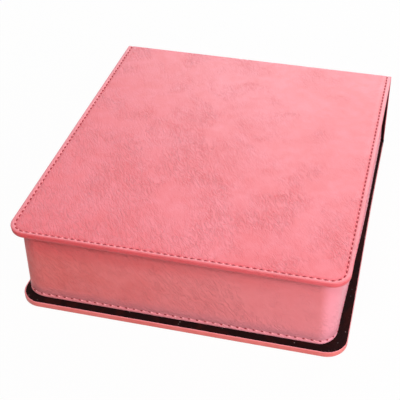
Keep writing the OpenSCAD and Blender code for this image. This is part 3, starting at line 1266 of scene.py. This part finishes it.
@dataclass(frozen=True)
class WallSkin(Skin):
    """The leather round the walls, with its sewn hem, and the boards and suede inside it."""

    node: str = "wall_leather"
    corner_r: float = 13 * MM
    corner_steps: int = 18
    overrun: float = 1.5 * MM
    foot_r: float = 0.8 * MM
    seam_up: float = 2.9 * MM
    seam_sunk: float = 0.3
    seam_short: float = 1 * MM
    groove_w: float = 1.8 * MM
    groove_h: float = 0.4 * MM
    groove_loops: tuple[float, ...] = (-1.0, -0.6, -0.2, 0.2, 0.6, 1.0)
    band_loops: tuple[float, ...] = (0.2, 0.4, 0.6, 0.8)
    lean_loops: tuple[float, ...] = (12 * MM, 9 * MM, 6 * MM, 4 * MM)
    skin: float = 1.0 * MM
    turn_in: float = 4.0 * MM
    boards: tuple[str, ...] = (
        *(f"{side}_wall_board" for side in ("front", "rear", "left", "right")),
        *(f"{side}_corner_board" for side in ("left", "right")),
    )
    right_pull: float = 1.2 * MM
    left_pull: float = -1.7 * MM
    rear_spread: float = 2.1 * MM
    spread_length: float = 148 * MM
    spread_in: tuple[float, float] = (12 * MM, 2 * MM)
    # Painted light: the band is paler near its foot and towards its right end, where the lamps light it.
    painted_foot_light: float = 0.55
    foot_height: tuple[float, float] = (4 * MM, 20 * MM)
    painted_right_light: float = 0.4
    right_reach: tuple[float, float] = (-40 * MM, 90 * MM)
    painted_end_light: float = 0.5
    end_reach: tuple[float, float] = (92 * MM, 100 * MM)
    # Painted shade: the colour deepens close under the lid's overhang, less towards the right.
    shade_left: float = 0.65
    shade_lost: float = 0.5
    shade_across: tuple[float, float] = (0.0, 85 * MM)
    shade_under: tuple[float, float] = (20 * MM, 8 * MM)
    seam: Seam = Seam(5.4 * MM, 2.0 * MM, 0.9 * MM, math.radians(-22), tuft=1.6 * MM, tuft_at=0.8)

    def spread(self, co: Vector) -> Vector:
        """Leans the side walls: in at the right front corner, and out towards the rear.

        Args:
            co: A point of the upright wall.

        Returns:
            The point on the leaning wall.
        """
        box = self.box
        pull = self.right_pull if co.x > 0 else self.left_pull
        behind = eased(co.y, box.lo.y, box.lo.y + self.spread_length)
        lean = (pull + self.rear_spread) * behind - pull
        inner, outer = (box.hi.x - inset for inset in self.spread_in)
        side = math.copysign(eased(abs(co.x), inner, outer), co.x)
        return co + ACROSS * side * lean * (box.hi.z - co.z) / box.size.z

    def pressed(self, co: Vector) -> Vector:
        """Presses the hem groove into the outer face, deepest at the seam.

        Args:
            co: A point of the band.

        Returns:
            The point, moved in where the groove runs.
        """
        outline = self.outline
        off = abs(co.z - self.box.lo.z - self.seam_up) / (self.groove_w / 2)
        if off < 1.0 and outline.depth(co) < self.skin / 2:
            co -= outline.out(co).normalized() * self.groove_h * math.cos(off * QUARTER)
        return co

    def band(self) -> Form:
        """Models the band with its hem groove, open at the top inside and at the rear.

        Returns:
            The form.
        """
        box = self.box
        form = self.blank().round_rim(box.lo.z, self.foot_r)
        inner = box.size.z - self.skin
        form.terrace(UP, [(self.skin, 0.0), (UPRIGHT, -inner), (self.turn_in - self.skin, 0.0)])
        form.terrace(DOWN, [(self.turn_in - self.foot_r, 0.0)]).open_through()
        seam = box.lo.z + self.seam_up
        form.loops(UP, [seam + share * self.groove_w / 2 for share in self.groove_loops])
        form.loops(UP, [box.lo.z + share * box.size.z for share in self.band_loops])
        return self.trimmed(self.ribbed(form)).shift(self.pressed).shift(self.spread)

    def leaned(self, name: str) -> Form:
        """Copies a board or the lining and leans it with the leather.

        Args:
            name: Its CAD node.

        Returns:
            The form.
        """
        sides = [side * (self.box.hi.x - inset) for side in (-1, 1) for inset in self.lean_loops]
        return self.ribbed(Form.copy(name).loops(ACROSS, sides)).shift(self.spread)

    def painted_light(self, co: Vector) -> float:
        """Says how much painted light pales the colour near the foot and towards the lit right end.

        Args:
            co: A point of the band.

        Returns:
            The share of the paler colour, as painted light.
        """
        foot = self.painted_foot_light * (1 - eased(co.z, *self.foot_height))
        right = self.painted_right_light * eased(co.x, *self.right_reach)
        return min(foot + right + self.painted_end_light * eased(co.x, *self.end_reach), 1.0)

    def shade(self, co: Vector) -> float:
        """Says how much painted shade deepens the colour close under the lid's overhang."""
        low, high = (self.box.hi.z - below for below in self.shade_under)
        return (self.shade_left - self.shade_lost * eased(co.x, *self.shade_across)) * eased(co.z, low, high)

    def seat(self, point: Vector, heading: float) -> Matrix:
        """Seats a stitch on the upright face, level with the groove."""
        at = self.spread(Vector((point.x, point.y, self.box.lo.z + self.seam_up)))
        return Matrix.Translation(at) @ Matrix.Rotation(heading, 4, "Z") @ Matrix.Rotation(QUARTER, 4, "X")

    def build(self) -> None:
        """Places the band, its stitches, and what lies inside it."""
        # The "fold" mask carries painted shade under the lid; the "stretch" mask carries painted light.
        band = self.band().paint("fold", self.shade).paint("stretch", self.painted_light)
        place_piece("wall_band", band, Body.LID, self.finishes.flank, Slot.LEATHER, self.node)
        box, sunk = self.box, self.seam_sunk * self.groove_h
        run = FrontRun(box.hi.x - sunk, box.lo.y + sunk, box.hi.y - self.seam_short, self.corner_r - sunk)
        self.seam.sew("hem", run, self.seat, self.finishes)
        lining = self.leaned("wall_lining")
        place_piece("wall_suede", lining, Body.LID, self.finishes.suede, Slot.SUEDE, "wall_lining")
        for name in self.boards:
            place_piece(f"{name}_core", self.leaned(name), Body.LID, self.finishes.board, Slot.BOARD, name)


# ---- The base ------------------------------------------------------------------------


@dataclass(frozen=True)
class BasePanel(Skin):
    """The leather tray of the base, and the suede laid over it."""

    node: str = "base_leather"
    corner_r: float = 14 * MM
    corner_steps: int = 18
    rib_pitch: float = 20 * MM
    ribs: range = range(1, 12)
    proud: float = 0.05 * MM
    edge_r: float = 0.8 * MM
    rim: float = 1.3 * MM
    pale_top_drop: float = 0.9 * MM
    right_spread: float = 1.6 * MM
    left_spread: float = 0.7 * MM
    suede_in: float = 0.4 * MM
    suede_corner_steps: int = 24
    suede_step: float = 1.6 * MM
    suede_edge: float = 0.25 * MM
    shifted: float = 0.8 * MM
    ragged: float = 0.22 * MM
    ragged_scale: float = 400.0
    side_x: float = 100 * MM

    def spread(self, co: Vector) -> Vector:
        """Widens the panel a little towards the front.

        Args:
            co: A point of the straight panel.

        Returns:
            The point on the widened panel.
        """
        box = self.box
        side = (self.right_spread if co.x > 0 else -self.left_spread) * eased(abs(co.x), 0.0, box.hi.x)
        return co + ACROSS * side * eased(-co.y, -0.5 * box.hi.y, -box.lo.y)

    def tray(self) -> Form:
        """Models the leather under the board, turned up round its edge.

        Returns:
            The form.
        """
        top = self.box.hi.z + self.proud
        form = self.blank().round_rim(top, self.edge_r).round_rim(self.box.lo.z, self.edge_r)
        form.terrace(UP, [(self.rim, 0.0), (UPRIGHT, Box.of("base_board").lo.z - top)])
        return self.ribbed(form).shift(self.spread)

    def cut(self, co: Vector) -> Vector:
        """Moves the suede's edge in and out a little, and its left edge further in.

        Args:
            co: A point of the sheet.

        Returns:
            The point on the sheet as cut.
        """
        wander = noise.noise(Vector((co.x, co.y, 0)) * self.ragged_scale) * self.ragged
        co.x += self.shifted * (co.x < -self.side_x)
        return co + Vector((math.copysign(wander, co.x) if abs(co.x) > self.side_x else 0, -abs(wander), 0))

    def suede(self) -> Form:
        """Models the suede sheet, cut by hand a little unevenly.

        Returns:
            The form.
        """
        box = Box.of("base_lining")
        corner = {"front_r": self.corner_r - self.suede_in, "segments": self.suede_corner_steps}
        form = Form.plate(box, step=self.suede_step, **corner)
        return form.shift(self.cut).shift(self.spread).round_rim(box.hi.z, self.suede_edge, 2)

    def build(self) -> None:
        """Places the panel's pieces."""
        top = self.box.hi.z
        # Painted highlight: the tray is paler along its rounded top edge.
        tray = self.tray().paint("stretch", lambda co: eased(co.z, top - self.pale_top_drop, top))
        place_piece("base_tray", tray, Body.BASE, self.finishes.edging, Slot.LEATHER, self.node)
        place_piece("base_suede", self.suede(), Body.BASE, self.finishes.suede, Slot.SUEDE, "base_lining")


@dataclass(frozen=True)
class Fold(Assembly):
    """The leather that runs down the spine and round the fold to the base."""

    proud: float = 0.15 * MM
    thickness: float = 0.25 * MM
    short: float = 2.2 * MM
    lead: float = 1 * MM
    sides_in: float = 0.1 * MM
    axis_y: float = 120.45 * MM
    radius: float = 2.55 * MM
    bend_steps: int = 12

    def strip(self) -> Form:
        """Bends a flat strip down the spine and round the bead of the fold.

        Returns:
            The form.
        """
        down = Box.of("lid_leather").hi.z - self.short - self.radius
        bend = QUARTER * (self.radius + self.proud)
        half = Box.of("hinge_leather").hi.x - self.sides_in
        form = Form.plate(Box(Vector((-half, 0, -self.thickness)), Vector((half, down + bend, 0))))
        form.loops(BACK, [self.lead * share / 3 for share in (1, 2, 3)])
        form.loops(BACK, [down * share for share in (0.25, 0.5, 0.75)])
        form.loops(BACK, [down + bend * step / self.bend_steps for step in range(self.bend_steps)])

        def bent(co: Vector) -> Vector:
            """Carries a point of the flat strip to the spine or round the bead.

            Args:
                co: A point of the flat strip.

            Returns:
                The point on the bent strip.
            """
            reach = self.radius + self.proud * (2 * eased(co.y, 0.0, self.lead) - 1) + co.z
            turn = max(co.y - down, 0.0) / (self.radius + self.proud)
            height = self.radius + max(down - co.y, 0.0) - reach * math.sin(turn)
            return Vector((co.x, self.axis_y + reach * math.cos(turn), max(height, 0.0)))

        return form.shift(bent)

    def build(self) -> None:
        """Places the strip, bent round the bead of the fold, on neither body, and dresses the hinge in
        suede.
        """
        piece = place_piece("fold_leather", self.strip(), None, self.finishes.leather, Slot.LEATHER)
        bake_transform(piece)
        dress(self.finishes.suede, "hinge_leather")


# ---- The insert ----------------------------------------------------------------------


@dataclass(frozen=True)
class Boards(Assembly):
    """The velvet-covered boards of the insert, softened along every edge."""

    edge_r: float = 0.55 * MM
    names: tuple[str, ...] = (
        *(f"insert_{side}_wall" for side in ("front", "rear", "left", "right")),
        *(f"divider_{side}" for side in ("front", "rear")),
        *(f"divider_{bay}_{side}" for bay in ("ring", "small", "middle") for side in ("left", "right")),
        "ring_bed",
    )

    def build(self) -> None:
        """Places a softened copy of each board."""
        for name in self.names:
            board = Form.copy(name).round_all(self.edge_r, 2)
            place_piece(f"{name}_velvet", board, Body.BASE, self.finishes.velvet, Slot.VELVET, name)
        dress(self.finishes.velvet, "insert_floor")


@dataclass(frozen=True)
class Cushion:
    """Padding that swells like blown-up cloth, held back where its neighbours are."""

    voxel: float = 1.6 * MM
    pressure: float = 4.0
    mass: float = 0.3
    stiffness: float = 15.0
    steps: int = 20
    side_cap: float = 0.9 * MM
    rise_cap: float = 1.7 * MM
    smoothings: int = 3
    smoothing: float = 0.5

    def held(self, move: Vector) -> Vector:
        """Caps how far a point may move, sideways and upwards.

        Args:
            move: The move that the cloth asks for.

        Returns:
            The move that is allowed.
        """
        side = Vector((move.x, move.y, 0))
        if side.length > self.side_cap:
            side *= self.side_cap / side.length
        return side + UP * min(max(move.z, -self.side_cap), self.rise_cap)

    def swell(self, form: Form, floor: float = -math.inf) -> Form:
        """Args:
            form: The slightly small starting shape.
            floor: Height that nothing goes below.

        Returns:
            The swollen form.
        """
        scene = bpy.context.scene
        piece = bpy.data.objects.new("swelling", form.mesh("swelling"))
        bpy.context.collection.objects.link(piece)
        remesh = piece.modifiers.new("remesh", "REMESH")
        remesh.mode, remesh.voxel_size = "VOXEL", self.voxel
        rest = bpy.data.meshes.new_from_object(piece.evaluated_get(bpy.context.evaluated_depsgraph_get()))
        piece.modifiers.clear()
        piece.data = rest
        cloth = piece.modifiers.new("cloth", "CLOTH")
        settings = cloth.settings
        settings.use_pressure = True
        settings.uniform_pressure_force = self.pressure
        settings.effector_weights.gravity = 0
        settings.mass = self.mass
        settings.tension_stiffness = settings.compression_stiffness = self.stiffness
        cloth.point_cache.frame_start, cloth.point_cache.frame_end = 1, self.steps
        for step in range(1, self.steps + 1):
            scene.frame_set(step)
        blown = piece.evaluated_get(bpy.context.evaluated_depsgraph_get()).to_mesh()
        moves = [self.held(after.co - before.co) for after, before in zip(blown.vertices, rest.vertices)]
        piece.modifiers.clear()
        scene.frame_set(1)
        for vertex, move in zip(rest.vertices, moves):
            vertex.co += move
        swollen = Form()
        swollen.bm.from_mesh(rest)
        bpy.data.objects.remove(piece)
        axes = {"use_axis_x": True, "use_axis_y": True, "use_axis_z": True}
        for _ in range(self.smoothings):
            bmesh.ops.smooth_vert(swollen.bm, verts=swollen.bm.verts[:], factor=self.smoothing, **axes)
        return swollen.shift(lambda co: Vector((co.x, co.y, max(co.z, floor))))


@dataclass(frozen=True)
class Padding(Assembly):
    """The insert's pads and ring rolls, each size blown up once and repeated."""

    pad_in: float = 0.7 * MM
    pad_drop: float = 1.3 * MM
    pad_r: float = 3 * MM
    corner_steps: int = 6
    rim_r: float = 0.9 * MM
    welt: float = 0.9 * MM
    welt_up: float = 0.45
    welt_out: float = 0.25 * MM
    welt_wall: float = 1.2
    welt_round: float = 0.3
    roll_in: float = 0.5 * MM
    roll_end_r: float = 1.6 * MM
    roll_seam_in: float = 2.2 * MM
    roll_seam: float = 0.7
    roll_seam_sunk: float = 0.1
    fill: float = 0.7
    pads: tuple[tuple[str, ...], ...] = (numbered("small_pad", 4), numbered("middle_pad", 3), ("rear_pad",))
    rolls: tuple[str, ...] = numbered("ring_roll", 4)

    def pad(self, box: Box) -> Form:
        """Models one pad with a welt round its side.

        Args:
            box: The pad's box.

        Returns:
            The form.
        """
        inset, lean, half = self.pad_in, self.welt_out, self.welt / 2
        start = box.grown((inset, inset, 0), (-inset, -inset, -self.pad_drop))
        form = Form.plate(start, self.pad_r, self.pad_r, self.corner_steps).round_rim(start.hi.z, self.rim_r)
        form = Cushion().swell(form, box.lo.z)
        middle = box.lo.z + self.welt_up * box.size.z
        low = Vector((box.lo.x - lean, box.lo.y - lean, middle - half))
        high = Vector((box.hi.x + lean, box.hi.y + lean, middle + half))
        welt = Form.plate(Box(low, high), self.pad_r, self.pad_r, self.corner_steps)
        for way in (UP, DOWN):
            welt.terrace(way, [(self.welt_wall * self.welt, 0.0)])
        return form.join(welt.open_through().round_all(self.welt_round * self.welt, 2))

    def roll(self, box: Box) -> Form:
        """Models one ring roll with a seam near each end.

        Args:
            box: The roll's box.

        Returns:
            The form.
        """
        inset = self.roll_in
        form = Form.rod(box.grown((inset, inset, inset), (-inset, -inset, -inset)), self.roll_end_r)
        form = Cushion(side_cap=inset, rise_cap=inset).swell(form)
        for end in (box.lo.x + self.roll_seam_in, box.hi.x - self.roll_seam_in):
            centre = Vector((end, box.centre.y, box.centre.z))
            radius = box.size.z / 2 - self.roll_seam_sunk * self.welt
            form.join(Form.ring(centre, radius, self.roll_seam * self.welt))
        return form

    def repeat(self, names: tuple[str, ...], make: Callable[[Box], Form]) -> None:
        """Makes the first piece of a size and places a copy at each of its nodes.

        Args:
            names: The nodes.
            make: Models the piece that fills a box.
        """
        first, velvet = Box.of(names[0]), self.finishes.velvet
        mesh = make(first).mesh(f"{names[0]}_padding")
        for name in names:
            copy = mesh.copy()
            copy.transform(Matrix.Translation(Box.of(name).centre - first.centre))
            piece = place_piece(f"{name}_padding", copy, Body.BASE, velvet, Slot.PADDING, name)
        bpy.data.meshes.remove(mesh)

    def build(self) -> None:
        """Places every pad and roll."""
        for names in self.pads:
            self.repeat(names, self.pad)
        self.repeat(self.rolls, self.roll)


@dataclass(frozen=True)
class MirrorFrame(Assembly):
    """The leather frame round the mirror, softened and sewn round."""

    edge_r: float = 0.7 * MM
    seam_in: float = 3.2 * MM
    seam_r: float = 4 * MM
    seam: Seam = Seam(4.4 * MM, 3.2 * MM, 0.8 * MM)

    @property
    def box(self) -> Box:
        """Box of the frame."""
        return Box.of("mirror_frame")

    def seat(self, way: int, point: Vector, heading: float) -> Matrix:
        """Seats a stitch on the underside.

        Args:
            way: 1 in the front half, or -1 where the run is mirrored in the rear half.
            point: The point in plan.
            heading: The line's heading there.

        Returns:
            The stitch's place.
        """
        middle = self.box.centre.y
        at = Vector((point.x, middle + way * (point.y - middle), self.box.lo.z))
        turn = Matrix.Rotation(way * heading, 4, "Z") @ Matrix.Rotation(math.pi, 4, "X")
        return Matrix.Translation(at) @ turn

    def build(self) -> None:
        """Places the frame and its stitches, and silvers the glass."""
        border = Form.copy("mirror_frame").round_all(self.edge_r)
        place_piece("mirror_border", border, Body.LID, self.finishes.skiver, Slot.FRAME, "mirror_frame")
        box, inset = self.box, self.seam_in
        run = FrontRun(box.hi.x - inset, box.lo.y + inset, box.centre.y, self.seam_r)
        for half, way in (("front", 1), ("rear", -1)):
            threads = self.seam.threads(run, partial(self.seat, way))
            place_piece(f"mirror_{half}_stitches", threads, Body.LID, self.finishes.thread, Slot.FRAME)
        dress(self.finishes.mirror, "mirror_glass")


# ---- The studio ----------------------------------------------------------------------


@dataclass(frozen=True)
class Softbox:
    """A square lamp aimed at the case."""

    name: str
    place: tuple[float, float, float]
    width: float
    watts: float
    colour: tuple[float, float, float]

    def build(self, target: Vector) -> None:
        """Hangs the lamp.

        Args:
            target: The point that it faces.
        """
        lamp = bpy.data.lights.new(self.name, "AREA")
        lamp.shape, lamp.size, lamp.energy, lamp.color = "SQUARE", self.width, self.watts, self.colour
        holder = bpy.data.objects.new(self.name, lamp)
        holder.location = self.place
        holder.rotation_euler = (target - Vector(self.place)).to_track_quat("-Z", "Y").to_euler()
        bpy.context.collection.objects.link(holder)


@dataclass(frozen=True)
class Camera:
    """The viewpoint, in metres and degrees."""

    place: tuple[float, float, float] = (0.13490, -0.51157, 0.43879)
    turn: tuple[float, float, float] = (51.419, 0.098, 13.334)
    lens: float = 81.338
    sensor: float = 36.0
    shift: tuple[float, float] = (-0.0939, -0.0066)
    near: float = 0.01
    far: float = 20.0

    def build(self) -> None:
        """Sets the scene's camera."""
        data = bpy.data.cameras.new("camera")
        data.lens, data.sensor_width = self.lens, self.sensor
        data.shift_x, data.shift_y = self.shift
        data.clip_start, data.clip_end = self.near, self.far
        camera = bpy.data.objects.new("camera", data)
        camera.location = self.place
        camera.rotation_euler = Euler([math.radians(angle) for angle in self.turn])
        bpy.context.collection.objects.link(camera)
        bpy.context.scene.camera = camera


@dataclass(frozen=True)
class Studio:
    """A pale table, soft lamps and a white surround."""

    floor_size: float = 6.0
    ambient: float = 0.17
    warmth: Colour = (1.0, 0.93, 0.9, 1.0)
    white: Colour = (1.0, 1.0, 1.0, 1.0)
    paper: Colour = (0.4, 0.36, 0.35, 1.0)
    paper_light: float = 1.03
    glow: float = 0.94
    target: tuple[float, float, float] = (0, 0, 0.04)
    lamps: tuple[Softbox, ...] = (
        Softbox("key", (0.95, -0.55, 0.42), 0.7, 9.0, (0.97, 0.99, 1.0)),
        Softbox("sheen", (0.0, 1.0, 0.64), 0.9, 9.6, (0.82, 0.97, 1.0)),
        Softbox("fill", (-0.1, -1.0, 1.4), 0.55, 13.6, (1.0, 0.95, 0.88)),
    )

    def show(self, graph: Graph, lit: bpy.types.Node, bright: bpy.types.Node, share: float) -> Socket:
        """Shows a bright shader where the camera, a reflection or a refraction looks.

        Args:
            graph: The graph that holds both shaders.
            lit: The shader that the rest of the light meets.
            bright: The bright shader.
            share: How much of the bright one shows.

        Returns:
            The mixed shader.
        """
        path = graph.add("ShaderNodeLightPath").outputs
        rays = graph.total(*(path[f"Is {ray} Ray"] for ray in ("Camera", "Glossy", "Transmission")))
        looks = graph.scaled(graph.math("MINIMUM", rays, 1.0), share)
        inputs = {0: looks, 1: lit.outputs[0], 2: bright.outputs[0]}
        return graph.add("ShaderNodeMixShader", inputs).outputs[0]

    def surround(self) -> None:
        """Lights the scene evenly and shows white behind it."""
        world = bpy.data.worlds.new("surround")
        world.use_nodes = True
        world.node_tree.nodes.clear()
        graph = Graph(world.node_tree)
        soft = graph.add("ShaderNodeBackground", {"Color": self.warmth, "Strength": self.ambient})
        white = graph.add("ShaderNodeBackground", {"Color": self.white, "Strength": 1.0})
        graph.add("ShaderNodeOutputWorld", {"Surface": self.show(graph, soft, white, 1.0)})
        bpy.context.scene.world = world

    def table(self) -> None:
        """Lays the table, which keeps a light shadow."""
        bm = bmesh.new()
        bmesh.ops.create_grid(bm, x_segments=1, y_segments=1, size=self.floor_size / 2)
        mesh = bpy.data.meshes.new("table")
        bm.to_mesh(mesh)
        bm.free()
        table = bpy.data.objects.new("table", mesh)
        bpy.context.collection.objects.link(table)
        material = bpy.data.materials.new("table")
        material.use_nodes = True
        material.node_tree.nodes.clear()
        graph = Graph(material.node_tree)
        paper = graph.add("ShaderNodeBsdfDiffuse", {"Color": self.paper})
        glow = graph.add("ShaderNodeEmission", {"Color": self.white, "Strength": self.paper_light})
        graph.add("ShaderNodeOutputMaterial", {"Surface": self.show(graph, paper, glow, self.glow)})
        mesh.materials.append(material)

    def build(self) -> None:
        """Sets up the whole studio."""
        bpy.context.scene.view_settings.view_transform = "Standard"
        self.surround()
        self.table()
        for lamp in self.lamps:
            lamp.build(Vector(self.target))
        Camera().build()


def main() -> None:
    """Dresses the case, piece by piece."""
    logging.basicConfig(level=logging.INFO, format="%(message)s")
    Studio().build()
    finishes = Finishes()
    for assembly in (LidCover, WallSkin, BasePanel, Fold, Boards, Padding, MirrorFrame):
        assembly(finishes).build()
    dress(finishes.suede, "lid_lining", "spine_lining")
    dress(finishes.board, "base_board", "lid_board", "spine_board")
    dress(finishes.steel, "base_magnets", "lid_magnets")


if __name__ == "__main__":
    main()
